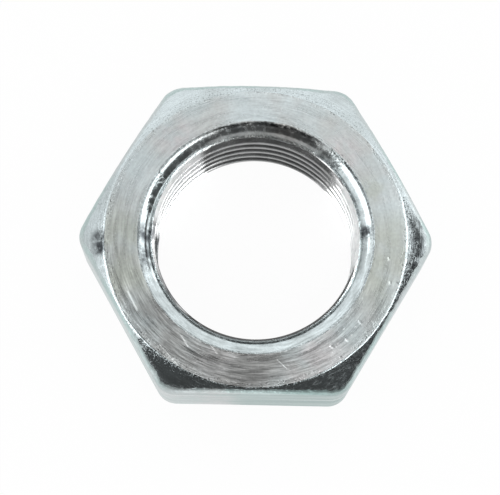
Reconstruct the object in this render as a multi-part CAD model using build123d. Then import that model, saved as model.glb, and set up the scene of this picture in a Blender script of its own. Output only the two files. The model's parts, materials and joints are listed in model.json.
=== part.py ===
from build123d import *
import math
import os

# Hexagon jam nut for a 3/4 inch fine thread with 16 threads to the inch, zinc-plated steel.
# It is one piece: a hexagon blank with rounded corners, turned to a 30 degree crown on its
# upper end, with a tapped hole that opens in a round trumpet mouth there and in a plain
# countersink at the bearing face.
# Millimetres. The thread's axis is Z, the bearing face lies at Z = 0, and two corners lie along X.

# Hexagon blank
ACROSS_FLATS = 26.99
THICKNESS = 9.525
UPRIGHT_CORNER_RADIUS = 1.9

# Crown on the upper end: a flat turned face inside a cone that takes the corners down
CHAMFER_INSIDE_FLATS = 0.445
CHAMFER_ANGLE = 30.0
CROWN_FACE_ROUND = 0.5
CROWN_RIM_ROUND = 0.45

# Bearing face on the lower end: flat to the flats, with only its sharp edge taken off
BEARING_RIM_CHAMFER = 0.25

# Thread, 3/4-16. Its ridges are too fine for this model, so the bore has their inner diameter:
# the basic one, and what the tapping drill leaves over it.
THREAD_MAJOR = 19.05
THREAD_PITCH = 1.5875
THREAD_HEIGHT_PER_PITCH = 0.54127
TAPPING_DRILL_OVER = 0.07

# Mouth at the crown, a quarter of an ellipse in section, and countersink at the bearing face.
# Each is wider than the thread by a clearance of its own.
CROWN_MOUTH_OVER = 1.29
CROWN_MOUTH_DEPTH = 1.9
COUNTERSINK_OVER = 0.25
COUNTERSINK_ANGLE = 90.0

# Sizes that follow from those above
sharp_corner_radius = ACROSS_FLATS / math.sqrt(3)
chamfer_circle_radius = ACROSS_FLATS / 2 - CHAMFER_INSIDE_FLATS
chamfer_slope = math.tan(math.radians(CHAMFER_ANGLE))
bore_radius = (THREAD_MAJOR + TAPPING_DRILL_OVER) / 2 - THREAD_HEIGHT_PER_PITCH * THREAD_PITCH
crown_mouth_radius = (THREAD_MAJOR + CROWN_MOUTH_OVER) / 2
countersink_radius = (THREAD_MAJOR + COUNTERSINK_OVER) / 2
countersink_depth = (countersink_radius - bore_radius) / math.tan(math.radians(COUNTERSINK_ANGLE / 2))


def hexagon_blank():
    """Return the hexagon prism with its six upright corners rounded."""
    with BuildPart() as blank:
        with BuildSketch():
            outline = RegularPolygon(radius=sharp_corner_radius, side_count=6)
            fillet(outline.vertices(), radius=UPRIGHT_CORNER_RADIUS)
        extrude(amount=THICKNESS)
    return blank.part


def crown_envelope():
    """Return the turned shape that crowns the blank: flat face, eased edge, then the cone."""
    cone_foot = THICKNESS - (sharp_corner_radius - chamfer_circle_radius) * chamfer_slope
    with BuildPart() as envelope:
        with BuildSketch(Plane.XZ) as section:
            with BuildLine():
                Polyline(
                    (0, 0),
                    (sharp_corner_radius, 0),
                    (sharp_corner_radius, cone_foot),
                    (chamfer_circle_radius, THICKNESS),
                    (0, THICKNESS),
                    close=True,
                )
            make_face()
            chamfer_circle = section.vertices().group_by(Axis.Y)[-1].sort_by(Axis.X)[-1]
            fillet(chamfer_circle, radius=CROWN_FACE_ROUND)
        revolve(axis=Axis.Z)
    return envelope.part


def tapped_hole():
    """Return the shape that the bore, its mouth and its countersink leave empty."""
    mouth_foot = THICKNESS - CROWN_MOUTH_DEPTH
    mouth_reach = crown_mouth_radius - bore_radius
    with BuildPart() as empty:
        with BuildSketch(Plane.XZ):
            with BuildLine():
                EllipticalCenterArc((crown_mouth_radius, mouth_foot), mouth_reach, CROWN_MOUTH_DEPTH, 90)
                Polyline(
                    (bore_radius, mouth_foot),
                    (bore_radius, countersink_depth),
                    (countersink_radius, 0),
                    (0, 0),
                    (0, THICKNESS),
                    (crown_mouth_radius, THICKNESS),
                )
            make_face()
        revolve(axis=Axis.Z)
    return empty.part


def rim_round_that_fits():
    """Return the rim's radius, no larger than the cone is wide at the middle of a flat."""
    cone_width = CHAMFER_INSIDE_FLATS / math.cos(math.radians(CHAMFER_ANGLE))
    taken_by_face_round = CROWN_FACE_ROUND * math.tan(math.radians(CHAMFER_ANGLE / 2))
    taken_per_millimetre = math.tan(math.radians((90 - CHAMFER_ANGLE) / 2))
    return min(CROWN_RIM_ROUND, 0.95 * (cone_width - taken_by_face_round) / taken_per_millimetre)


def jam_nut():
    """Return the finished nut, from blank to bored hole."""
    nut = hexagon_blank() & crown_envelope()
    # Where the cone cuts the flats it leaves hyperbolas, and where it cuts the corners free curves
    crown_rim = nut.edges().filter_by(GeomType.HYPERBOLA) + nut.edges().filter_by(GeomType.BSPLINE)
    nut = fillet(crown_rim, radius=rim_round_that_fits())
    nut = chamfer(nut.edges().group_by(Axis.Z)[0], length=BEARING_RIM_CHAMFER)
    return nut - tapped_hole()


os.makedirs("parts", exist_ok=True)
nut = jam_nut()
nut.label = "jam_nut"
export_step(nut, "parts/jam_nut.step")
print(f"jam_nut: {nut.volume:.1f} mm3, {len(nut.solids())} solid, {nut.bounding_box()}")
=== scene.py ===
"""A hexagon jam nut of zinc-plated steel, lying on its bearing face on a pale floor.

The nut is one piece. Its outer skin, with the trumpet mouth at the crown and the countersink at the
bearing face, is drawn section by section round the thread's axis, with the small unevenness of edges
that a tool and rough handling leave. A node tree then taps it: the tree makes the threaded wall
between mouth and countersink and welds it to the skin.
Lengths are metres, or millimetres where a class says so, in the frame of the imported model: the
thread's axis is Z, the bearing face lies at Z = 0 and two corners lie along X.
"""

import json
import logging
import math
from dataclasses import dataclass, field
from enum import Enum

import bpy
from mathutils import Matrix, Vector, noise


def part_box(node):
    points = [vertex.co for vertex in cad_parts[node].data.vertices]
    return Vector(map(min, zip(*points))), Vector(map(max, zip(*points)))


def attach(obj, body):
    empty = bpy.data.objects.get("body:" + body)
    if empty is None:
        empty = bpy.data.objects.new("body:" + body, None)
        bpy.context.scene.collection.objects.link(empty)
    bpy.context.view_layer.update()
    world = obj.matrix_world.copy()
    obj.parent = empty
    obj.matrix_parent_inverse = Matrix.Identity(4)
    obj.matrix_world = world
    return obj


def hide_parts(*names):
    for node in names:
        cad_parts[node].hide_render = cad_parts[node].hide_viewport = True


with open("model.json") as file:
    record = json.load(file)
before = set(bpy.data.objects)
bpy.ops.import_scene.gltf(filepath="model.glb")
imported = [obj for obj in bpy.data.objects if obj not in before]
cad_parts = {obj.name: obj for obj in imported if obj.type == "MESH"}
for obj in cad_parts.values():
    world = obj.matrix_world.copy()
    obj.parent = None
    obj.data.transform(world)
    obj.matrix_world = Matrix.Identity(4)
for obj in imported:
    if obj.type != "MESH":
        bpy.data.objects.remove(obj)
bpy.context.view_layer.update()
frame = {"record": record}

log = logging.getLogger("jam_nut_scene")

MM = 0.001
FULL_TURN = 2 * math.pi
CORNERS = 6
HALF_SIDE_ANGLE = math.pi / CORNERS

# Directions in a section, in degrees
OUTWARD = 0.0
UPWARD = 90.0
DOWNWARD = -90.0
# Square to the bearing face's chamfer
OUT_AND_DOWN = -45.0

# The middle of a share from 0 to 1, round which every noise lies too
MIDDLE = 0.5
# What a noise's distance from its middle is multiplied by where it shades or roughens a surface
NOISE_GAIN = 4
LEAST_ROUGHNESS = 0.05
BRIGHTEST_TINT = 0.95

# A place in a section: its radius about the thread's axis, and its height
SectionPoint = tuple[float, float]
# The value at which a share is 0, and the one at which it is 1
Span = tuple[float, float]
# A round spot on the plan: its place as x and y, and its radius, in millimetres
Spot = tuple[float, float, float]
# A colour's red, green and blue
Tint = tuple[float, float, float]

BLUE_ZINC: Tint = (0.575, 0.640, 0.650)
GREY_ZINC: Tint = (0.560, 0.585, 0.580)
KHAKI_ZINC: Tint = (0.515, 0.550, 0.500)
PINK_ZINC: Tint = (0.625, 0.595, 0.600)
MINT_ZINC: Tint = (0.475, 0.580, 0.572)
# Darker than the flats' mint: the near flat's mint tone with painted shade in it
DEEP_MINT_AND_SHADE_ZINC: Tint = (0.330, 0.440, 0.428)
PALE_MINT_ZINC: Tint = (0.560, 0.605, 0.610)
AQUA_ZINC: Tint = (0.670, 0.750, 0.770)
# Dark grey for the painted dark reflection on the crowned face near the camera
PAINTED_REFLECTION_GREY: Tint = (0.350, 0.355, 0.350)
THREAD_ZINC: Tint = (0.590, 0.600, 0.600)
# Near black, darker than any zinc: the tint of painted dark reflections and painted shade
PAINTED_DARK_REFLECTION_TINT: Tint = (0.070, 0.078, 0.085)
WARM_ZINC: Tint = (0.620, 0.615, 0.600)


class Surface(Enum):
    """The nut's kinds of surface, each with a finish of its own. The value is the material slot."""

    CROWN_FACE = 0
    CHAMFER = 1
    FLATS = 2
    BEARING_FACE = 3
    MOUTH = 4
    THREAD = 5


class Lay(Enum):
    """Which way a surface's tool marks run, named by what tells one mark from the next."""

    TURNED = "radius"
    BORED = "radius and height"
    ROLLED = "height"


class Layer(Enum):
    """The noises that a finish is made of.

    The value is a seed that tells one from the others. Patches of tint and painted shade count on from
    theirs.
    """

    MARKS = 1.0
    BANDS = 2.0
    GRAIN = 3.0
    NICKS = 4.0
    CLOUDS = 5.0
    SPECKS = 6.0
    STAINS_AND_SHADE = 10.0


def polar(radius: float, angle: float, height: float) -> tuple[float, float, float]:
    """Return the point at this radius and angle about the thread's axis, and at this height."""
    return radius * math.cos(angle), radius * math.sin(angle), height


def arc(centre: SectionPoint, radius: float, start: float, end: float, steps: int) -> list[SectionPoint]:
    """Return points of an arc in a section, both ends among them.

    Args:
        centre: The arc's centre.
        radius: The arc's own radius.
        start: Where it starts, as a direction from the centre in degrees.
        end: Where it ends, in the same way.
        steps: How many straight steps it is made of.

    Returns:
        The points from start to end.
    """
    turns = [math.radians(start + (end - start) * i / steps) for i in range(steps + 1)]
    return [(centre[0] + radius * math.cos(t), centre[1] + radius * math.sin(t)) for t in turns]


class NodeNumber:
    """A number that a node tree works out, written with the usual signs for sums."""

    def __init__(self, tree: bpy.types.NodeTree, socket: bpy.types.NodeSocket) -> None:
        """Keep the tree and the output socket that gives the number."""
        self.tree = tree
        self.socket = socket

    def operate(self, operation: str, *others: "NodeNumber | float") -> "NodeNumber":
        """Return what a Math node makes of this number.

        Args:
            operation: The node's operation.
            others: The numbers that the operation takes after this one.

        Returns:
            The node's result.
        """
        node = self.tree.nodes.new("ShaderNodeMath")
        node.operation = operation
        for entry, value in zip(node.inputs, (self, *others)):
            if isinstance(value, NodeNumber):
                self.tree.links.new(value.socket, entry)
            else:
                entry.default_value = value
        return NodeNumber(self.tree, node.outputs[0])

    def __add__(self, other: "NodeNumber | float") -> "NodeNumber":
        """Return the sum."""
        return self.operate("ADD", other)

    def __sub__(self, other: "NodeNumber | float") -> "NodeNumber":
        """Return the difference."""
        return self.operate("SUBTRACT", other)

    def __mul__(self, other: "NodeNumber | float") -> "NodeNumber":
        """Return the product."""
        return self.operate("MULTIPLY", other)

    def __truediv__(self, other: "NodeNumber | float") -> "NodeNumber":
        """Return the quotient."""
        return self.operate("DIVIDE", other)

    def rest_of(self, other: "NodeNumber | float") -> "NodeNumber":
        """Return what is left of this number after whole parts of the other are taken out."""
        return self.operate("FLOORED_MODULO", other)

    def whole(self) -> "NodeNumber":
        """Return the whole number at or below this one."""
        return self.operate("FLOOR")

    def size(self) -> "NodeNumber":
        """Return the number without its sign."""
        return self.operate("ABSOLUTE")

    def root(self) -> "NodeNumber":
        """Return the square root."""
        return self.operate("SQRT")

    def up_to_one(self) -> "NodeNumber":
        """Return what this number lacks to be 1."""
        return self * -1.0 + 1.0

    def largest(self, other: "NodeNumber | float") -> "NodeNumber":
        """Return the larger of the two."""
        return self.operate("MAXIMUM", other)

    def smallest(self, other: "NodeNumber | float") -> "NodeNumber":
        """Return the smaller of the two."""
        return self.operate("MINIMUM", other)

    def share_between(self, low: float, high: float) -> "NodeNumber":
        """Return how far the number has come from one value to another, eased at both ends.

        Args:
            low: The value where the share is 0.
            high: The value where the share is 1. It may be the smaller of the two.

        Returns:
            A share that is never under 0 or over 1.
        """
        node = self.tree.nodes.new("ShaderNodeMapRange")
        node.interpolation_type = "SMOOTHSTEP"
        self.tree.links.new(self.socket, node.inputs["Value"])
        node.inputs["From Min"].default_value = low
        node.inputs["From Max"].default_value = high
        return NodeNumber(self.tree, node.outputs[0])


def node_after(tree: bpy.types.NodeTree, kind: str, source: bpy.types.NodeSocket) -> bpy.types.Node:
    """Return a new node whose first input takes the source.

    Args:
        tree: The tree that gets the node.
        kind: The node's type.
        source: An output socket of the same tree.

    Returns:
        The node.
    """
    node = tree.nodes.new(kind)
    tree.links.new(source, node.inputs[0])
    return node


def as_place(x: NodeNumber, y: NodeNumber, z: NodeNumber) -> bpy.types.NodeSocket:
    """Return a socket that gives three numbers of one tree as a place.

    Args:
        x: The place's first number.
        y: Its second.
        z: Its third.

    Returns:
        The vector socket.
    """
    node = x.tree.nodes.new("ShaderNodeCombineXYZ")
    for number, entry in zip((x, y, z), node.inputs):
        x.tree.links.new(number.socket, entry)
    return node.outputs[0]


def mixed_shader(
    share: NodeNumber, base: bpy.types.NodeSocket, over: bpy.types.NodeSocket
) -> bpy.types.NodeSocket:
    """Return a shader that fades from one to another.

    Args:
        share: How much of the second shows.
        base: The shader that shows where the share is 0.
        over: The shader that shows where it is 1.

    Returns:
        The mix's output socket.
    """
    mix = share.tree.nodes.new("ShaderNodeMixShader")
    for source, entry in zip((share.socket, base, over), mix.inputs):
        share.tree.links.new(source, entry)
    return mix.outputs[0]


def clear_shader(tree: bpy.types.NodeTree) -> bpy.types.NodeSocket:
    """Return a shader that lets everything through."""
    return tree.nodes.new("ShaderNodeBsdfTransparent").outputs[0]


def bare_material(name: str) -> bpy.types.Material:
    """Return a new material with no nodes in its tree.

    Args:
        name: The material's name.

    Returns:
        The material.
    """
    made = bpy.data.materials.new(name)
    made.use_nodes = True
    made.node_tree.nodes.clear()
    return made


@dataclass
class NutSizes:
    """The nut's sizes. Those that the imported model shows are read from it."""

    across_flats: float
    thickness: float
    corner_radius: float
    bore_radius: float
    chamfer_inside_flats: float = 0.445 * MM
    chamfer_angle: float = math.radians(30)
    chamfer_bulge_radius: float = 11.0 * MM
    face_round: float = 0.42 * MM
    rim_round: float = 0.55 * MM
    rim_round_more_at_corners: float = 0.45 * MM
    bearing_rim_chamfer: float = 0.25 * MM
    bearing_rim_ease: float = 0.2 * MM
    mouth: float = 10.22 * MM
    mouth_depth: float = 1.9 * MM
    smooth_mouth_depth: float = 0.8 * MM
    countersink: float = 9.65 * MM
    pitch: float = 1.5875 * MM
    thread_height_per_pitch: float = 0.54127
    crown_off_centre: float = 0.12 * MM
    crown_off_towards: float = math.radians(238)
    crest_height: float = 0.70 * MM
    run_out: float = 0.3 * MM

    @classmethod
    def from_frame(cls) -> "NutSizes":
        """Return the sizes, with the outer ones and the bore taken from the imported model.

        Returns:
            The sizes of this nut.
        """
        low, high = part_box("jam_nut")
        across_flats = high.y - low.y
        sharp_corner = across_flats / math.sqrt(3)
        gain_per_radius = 1 / math.cos(HALF_SIDE_ANGLE) - 1
        thread = next(m for m in frame["record"]["mounts"] if m["kind"] == "threaded_hole")
        return cls(
            across_flats=across_flats,
            thickness=high.z - low.z,
            corner_radius=(sharp_corner - high.x) / gain_per_radius,
            bore_radius=thread["dims"]["r_mm"] * MM,
        )

    @property
    def chamfer_circle(self) -> float:
        """The radius where the chamfer's cone meets the level of the crowned face."""
        return self.across_flats / 2 - self.chamfer_inside_flats

    @property
    def countersink_depth(self) -> float:
        """The depth of the countersink, whose sides stand at 90 degrees to each other."""
        return self.countersink - self.bore_radius

    @property
    def thread_depth(self) -> float:
        """The depth of the thread's groove."""
        return self.thread_height_per_pitch * self.pitch

    def reach(self, angle: float) -> float:
        """Return how far out the hexagon with rounded corners reaches.

        Args:
            angle: The direction about the axis, in radians.

        Returns:
            The outline's radius there.
        """
        off_corner = abs((angle + HALF_SIDE_ANGLE) % (2 * HALF_SIDE_ANGLE) - HALF_SIDE_ANGLE)
        half = self.across_flats / 2
        centre = (half - self.corner_radius) / math.cos(HALF_SIDE_ANGLE)
        ends_at = math.atan2(
            self.corner_radius * math.sin(HALF_SIDE_ANGLE),
            centre + self.corner_radius * math.cos(HALF_SIDE_ANGLE),
        )
        if off_corner >= ends_at:
            return half / math.cos(HALF_SIDE_ANGLE - off_corner)
        across = centre * math.sin(off_corner)
        return centre * math.cos(off_corner) + math.sqrt(self.corner_radius**2 - across**2)


@dataclass(frozen=True)
class Wear:
    """How far an edge strays from its true line, as uneven cutting and rough handling leave it."""

    depth: float
    lengths: tuple[float, ...] = (0.45 * MM, 1.3 * MM, 5.0 * MM)
    seed: float = 0.0

    def at(self, radius: float, angle: float) -> float:
        """Return how far the edge strays outwards.

        Args:
            radius: The radius at which the edge passes.
            angle: The angle about the axis at which it does.

        Returns:
            The distance, under 0 where the edge strays inwards.
        """
        total = 0.0
        for length in self.lengths:
            turn = radius / length
            total += noise.noise(Vector((math.cos(angle) * turn, math.sin(angle) * turn, self.seed)))
        return self.depth * total / math.sqrt(len(self.lengths))


@dataclass
class Skin:
    """The nut's outside, from inside the mouth over the crown and the flats to the countersink.

    Each of its methods for a strip takes some of these: the section's angle about the axis, the lip's
    radius, and the chamfer circle's radius, both with their wear.
    """

    sizes: NutSizes
    columns: int = 600
    mouth_steps: int = 14
    face_shares: tuple[float, ...] = (0.25, 0.5, 0.75)
    chamfer_shares: tuple[float, ...] = (0.0, 0.12, 0.3, 0.5, 0.7, 0.88)
    round_steps: int = 6
    ease_steps: int = 3
    support: float = 0.06 * MM
    lip_wear: Wear = Wear(0.04 * MM, seed=3.0)
    crown_wear: Wear = Wear(0.05 * MM, seed=11.0)
    rim_wear: Wear = Wear(0.13 * MM, (0.35 * MM, 0.9 * MM, 3.0 * MM), seed=27.0)
    rim_wear_more_at_corners: float = 2.0
    foot_wear: Wear = Wear(0.04 * MM, seed=41.0)

    def section(self, angle: float) -> list[tuple[SectionPoint, Surface]]:
        """Return the section at an angle about the axis.

        Args:
            angle: The section's angle in radians.

        Returns:
            Points from inside the mouth to the countersink's foot, each with the surface that the
            strip after it belongs to.
        """
        s = self.sizes
        lip = s.mouth + self.lip_wear.at(s.mouth, angle)
        circle = s.chamfer_circle + s.crown_off_centre * math.cos(angle - s.crown_off_towards)
        circle += self.crown_wear.at(s.chamfer_circle, angle)
        strips = [
            (self.mouth_points(lip), Surface.MOUTH),
            (self.face_points(lip, circle), Surface.CROWN_FACE),
            (self.eased_points(circle)[:-1], Surface.CHAMFER),
            (self.chamfer_points(angle, circle), Surface.CHAMFER),
            (self.flat_points(angle, circle), Surface.FLATS),
            (self.bearing_points(angle), Surface.BEARING_FACE),
            ([(s.countersink, 0.0), (s.bore_radius, s.countersink_depth)], Surface.MOUTH),
        ]
        return [(point, surface) for points, surface in strips for point in points]

    def mouth_points(self, lip: float) -> list[SectionPoint]:
        """Return the mouth's section, part of an ellipse, from where the thread ends up to the lip.

        The lip's unevenness fades with depth, so that the section starts where the thread's wall ends.

        Args:
            lip: The lip's radius.

        Returns:
            The points, without the lip itself.
        """
        s = self.sizes
        reach, foot = s.mouth - s.bore_radius, s.thickness - s.mouth_depth
        deepest = math.acos(1 - s.smooth_mouth_depth / s.mouth_depth)
        points = []
        for step in range(self.mouth_steps):
            share = step / self.mouth_steps
            turn = deepest * (1 - share)
            radius = s.mouth - reach * math.sin(turn) + (lip - s.mouth) * share**2
            points.append((radius, foot + s.mouth_depth * math.cos(turn)))
        return points

    def face_points(self, lip: float, circle: float) -> list[SectionPoint]:
        """Return the crowned face's section from the lip to just before its eased edge.

        Args:
            lip: The lip's radius.
            circle: The chamfer circle's radius.

        Returns:
            The points, all at the height of the face.
        """
        end = self.eased_points(circle)[0][0]
        inside = [lip + (end - lip) * share for share in self.face_shares]
        return [(r, self.sizes.thickness) for r in (lip, lip + self.support, *inside, end - self.support)]

    def eased_points(self, circle: float) -> list[SectionPoint]:
        """Return the eased edge's section, from the crowned face to the chamfer.

        Args:
            circle: The chamfer circle's radius.

        Returns:
            The points of a small arc.
        """
        s = self.sizes
        end = circle - s.face_round * math.tan(s.chamfer_angle / 2)
        tilt = math.degrees(s.chamfer_angle)
        return arc((end, s.thickness - s.face_round), s.face_round, UPWARD, UPWARD - tilt, self.round_steps)

    def chamfer_points(self, angle: float, circle: float) -> list[SectionPoint]:
        """Return the chamfer's section, which bulges a little off the cone, as handling leaves it.

        Args:
            angle: The section's angle.
            circle: The chamfer circle's radius.

        Returns:
            The points from the eased edge to the rim, without the last.
        """
        start = self.eased_points(circle)[-1]
        end = self.rim_arc(angle, circle)[0]
        run, drop = end[0] - start[0], start[1] - end[1]
        length = math.hypot(run, drop)
        points = []
        for share in self.chamfer_shares:
            bulge = share * (1 - share) * length / (2 * self.sizes.chamfer_bulge_radius)
            points.append((start[0] + run * share + drop * bulge, start[1] - drop * share + run * bulge))
        return points

    def rim_arc(self, angle: float, circle: float) -> list[SectionPoint]:
        """Return the round between the cone and the flat, which is larger at the corners.

        Args:
            angle: The section's angle.
            circle: The chamfer circle's radius.

        Returns:
            The points from the cone down to the flat.
        """
        s = self.sizes
        reach = s.reach(angle)
        nearest, farthest = s.across_flats / 2, s.reach(0.0)
        out_to_corner = (reach - nearest) / (farthest - nearest)
        rim_round = s.rim_round + s.rim_round_more_at_corners * out_to_corner
        rim_round += self.rim_wear.at(reach, angle) * (1 + self.rim_wear_more_at_corners * out_to_corner)
        foot = s.thickness - (reach - circle) * math.tan(s.chamfer_angle)
        drop = rim_round * math.tan((math.pi / 2 - s.chamfer_angle) / 2)
        centre = (reach - rim_round, foot - drop)
        return arc(centre, rim_round, UPWARD - math.degrees(s.chamfer_angle), OUTWARD, self.round_steps)

    def flat_points(self, angle: float, circle: float) -> list[SectionPoint]:
        """Return the section of the rim, the flat and the bearing face's small chamfer.

        Args:
            angle: The section's angle.
            circle: The chamfer circle's radius.

        Returns:
            The points from the cone down to the bearing face.
        """
        s = self.sizes
        reach = s.reach(angle)
        rim = self.rim_arc(angle, circle)
        cut = s.bearing_rim_chamfer + self.foot_wear.at(reach, angle)
        ease, steps = s.bearing_rim_ease, self.ease_steps
        tangent = ease * math.tan(math.radians((OUTWARD - OUT_AND_DOWN) / 2))
        upper = arc((reach - ease, cut + tangent), ease, OUTWARD, OUT_AND_DOWN, steps)
        lower = arc((reach - cut - tangent, ease), ease, OUT_AND_DOWN, DOWNWARD, steps)
        high, low = rim[-1][1] - self.support, cut + tangent + self.support
        side = [(reach, high), (reach, (high + low) / 2), (reach, low)]
        return rim + side + upper + lower

    def bearing_points(self, angle: float) -> list[SectionPoint]:
        """Return the bearing face's section between its chamfer and the countersink.

        Args:
            angle: The section's angle.

        Returns:
            Three points, the first of them inside the chamfer however worn that is.
        """
        s = self.sizes
        start = s.reach(angle) - 2 * s.bearing_rim_chamfer - self.support
        end = s.countersink
        return [(start, 0.0), ((start + end) / 2, 0.0), (end + self.support, 0.0)]

    def build(self) -> bpy.types.Mesh:
        """Return the skin's mesh, open where the thread goes.

        Returns:
            A mesh whose faces have the numbers of their surfaces.
        """
        points, faces, kinds = [], [], []
        for column in range(self.columns):
            angle = FULL_TURN * column / self.columns
            rows = self.section(angle)
            count = len(rows)
            points += [polar(r, angle, z) for (r, z), _ in rows]
            here, there = column * count, (column + 1) % self.columns * count
            for row in range(count - 1):
                faces.append((here + row, here + row + 1, there + row + 1, there + row))
                kinds.append(rows[row][1].value)
        mesh = bpy.data.meshes.new("jam_nut_skin")
        mesh.from_pydata(points, [], faces)
        mesh.polygons.foreach_set("material_index", kinds)
        return mesh


@dataclass(frozen=True)
class ThreadForm:
    """The thread's section over one pitch, from crest to crest, with its crest edges eased."""

    crest_share: float = 0.3
    root_share: float = 1 / 8
    eased_share: float = 0.04

    def corners(self) -> list[tuple[float, float]]:
        """Return the section's corners, up to the start of the next crest.

        Returns:
            Each corner's share of the pitch and share of the depth.
        """
        flank = (1 - self.crest_share - self.root_share) / 2
        half_eased = self.eased_share / 2
        eased_depth = self.eased_share / flank / 2
        root_start = self.crest_share + flank
        root_end = root_start + self.root_share
        return [
            (half_eased, 0.0),
            (self.crest_share - half_eased, 0.0),
            (self.crest_share + half_eased, eased_depth),
            (root_start, 1.0),
            (root_end, 1.0),
            (1.0 - half_eased, eased_depth),
            (1.0 + half_eased, 0.0),
        ]


@dataclass
class Tapping:
    """The node tree that taps the nut: a threaded wall from inside the mouth to the countersink."""

    sizes: NutSizes
    columns: int
    rows_per_stretch: int = 3
    form: ThreadForm = field(default_factory=ThreadForm)
    weld: float = 0.0001 * MM

    def number_inputs(self) -> dict[str, float]:
        """Return the tree's number inputs.

        Returns:
            Each input's name, with its value for this nut.
        """
        s = self.sizes
        return {
            "Lower End": s.countersink_depth,
            "Upper End": s.thickness - s.smooth_mouth_depth,
            "Mouth Foot": s.thickness - s.mouth_depth,
            "Mouth Depth": s.mouth_depth,
            "Mouth Radius": s.mouth,
            "Bore Radius": s.bore_radius,
            "Thread Depth": s.thread_depth,
            "Pitch": s.pitch,
            "Crest Height": s.crest_height,
            "Run Out": s.run_out,
        }

    def count_inputs(self) -> dict[str, int]:
        """Return the tree's inputs for the wall's grid.

        Returns:
            Each input's name, with its count. The rows cover the nut and one more turn at each end.
        """
        turns = math.ceil(self.sizes.thickness / self.sizes.pitch) + 2
        stretches = len(self.form.corners()) - 1
        return {"Columns": self.columns, "Rows": self.rows_per_stretch * stretches * turns + 1}

    def build_tree(self, thread: bpy.types.Material) -> bpy.types.NodeTree:
        """Return the tree.

        Args:
            thread: The material of the thread.

        Returns:
            A Geometry Nodes tree that takes the skin and gives the whole nut.
        """
        tree = bpy.data.node_groups.new("tapped_bore", "GeometryNodeTree")
        face = tree.interface
        face.new_socket("Skin", in_out="INPUT", socket_type="NodeSocketGeometry")
        for name in self.number_inputs():
            face.new_socket(name, in_out="INPUT", socket_type="NodeSocketFloat")
        for name in self.count_inputs():
            face.new_socket(name, in_out="INPUT", socket_type="NodeSocketInt")
        face.new_socket("Nut", in_out="OUTPUT", socket_type="NodeSocketGeometry")
        entry = tree.nodes.new("NodeGroupInput")
        size = {name: NodeNumber(tree, entry.outputs[name]) for name in self.number_inputs()}
        columns, rows = (NodeNumber(tree, entry.outputs[name]) for name in self.count_inputs())

        grid = tree.nodes.new("GeometryNodeMeshGrid")
        tree.links.new((columns + 1.0).socket, grid.inputs["Vertices X"])
        tree.links.new(rows.socket, grid.inputs["Vertices Y"])
        index = NodeNumber(tree, tree.nodes.new("GeometryNodeInputIndex").outputs[0])
        turn = (index / rows).whole() / columns
        radius, height = self.wall(size, *self.endless_thread(size, turn, index.rest_of(rows)))
        angle = turn * FULL_TURN
        place = as_place(radius * angle.operate("COSINE"), radius * angle.operate("SINE"), height)
        moved = node_after(tree, "GeometryNodeSetPosition", grid.outputs["Mesh"])
        tree.links.new(place, moved.inputs["Position"])

        outward = node_after(tree, "GeometryNodeFlipFaces", moved.outputs[0])
        marked = node_after(tree, "GeometryNodeCaptureAttribute", outward.outputs[0])
        marked.domain = "FACE"
        marked.capture_items.new("BOOLEAN", "Threaded")
        marked.inputs["Threaded"].default_value = True
        joined = node_after(tree, "GeometryNodeJoinGeometry", marked.outputs[0])
        tree.links.new(entry.outputs["Skin"], joined.inputs[0])
        welded = node_after(tree, "GeometryNodeMergeByDistance", joined.outputs[0])
        welded.inputs["Distance"].default_value = self.weld
        real = node_after(tree, "GeometryNodeRealizeInstances", welded.outputs[0])
        plated = node_after(tree, "GeometryNodeSetMaterial", real.outputs[0])
        tree.links.new(marked.outputs["Threaded"], plated.inputs["Selection"])
        plated.inputs["Material"].default_value = thread
        node_after(tree, "NodeGroupOutput", plated.outputs[0])
        return tree

    def endless_thread(
        self, size: dict[str, NodeNumber], turn: NodeNumber, row: NodeNumber
    ) -> tuple[NodeNumber, NodeNumber]:
        """Return where a point of the wall lies on a thread that has no ends.

        Each stretch of the thread's section has several rows, the first of them at its start. Two
        laps come before the one whose crest passes angle 0 at the crest height.

        Args:
            size: The tree's number inputs by name.
            turn: How far round the axis the point lies, as a share of a full turn.
            row: The number of its row.

        Returns:
            The point's height and its share of the thread's depth.
        """
        corners = self.form.corners()
        stretches, per_stretch = float(len(corners) - 1), float(self.rows_per_stretch)
        stretch = (row / per_stretch).whole()
        corner, lap = stretch.rest_of(stretches), (stretch / stretches).whole()
        start_z, start_depth = self.corner_at(corner, corners)
        end_z, end_depth = self.corner_at(corner + 1.0, corners)
        along = row.rest_of(per_stretch) / per_stretch
        share_z = start_z + (end_z - start_z) * along
        foot = size["Crest Height"] - size["Pitch"] * (1.0 + self.form.crest_share / 2)
        height = foot + size["Pitch"] * (turn + lap - 1.0 + share_z)
        return height, start_depth + (end_depth - start_depth) * along

    def wall(
        self, size: dict[str, NodeNumber], height: NodeNumber, depth_share: NodeNumber
    ) -> tuple[NodeNumber, NodeNumber]:
        """Return where a point of the wall lies, with the thread kept between the wall's two ends.

        Towards both ends the groove runs out, so that the wall meets the skin on a plain circle.

        Args:
            size: The tree's number inputs by name.
            height: The point's height on a thread that has no ends.
            depth_share: Its share of the thread's depth.

        Returns:
            The point's radius and height.
        """
        z = height.largest(size["Lower End"]).smallest(size["Upper End"])
        left = (size["Upper End"] - z).smallest(z - size["Lower End"]) / size["Run Out"]
        groove = size["Bore Radius"] + size["Thread Depth"] * depth_share * left.smallest(1.0)
        up_mouth = ((z - size["Mouth Foot"]) / size["Mouth Depth"]).largest(0.0)
        reach = size["Mouth Radius"] - size["Bore Radius"]
        mouth = size["Mouth Radius"] - reach * (up_mouth * up_mouth).up_to_one().root()
        return groove.largest(mouth), z

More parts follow.
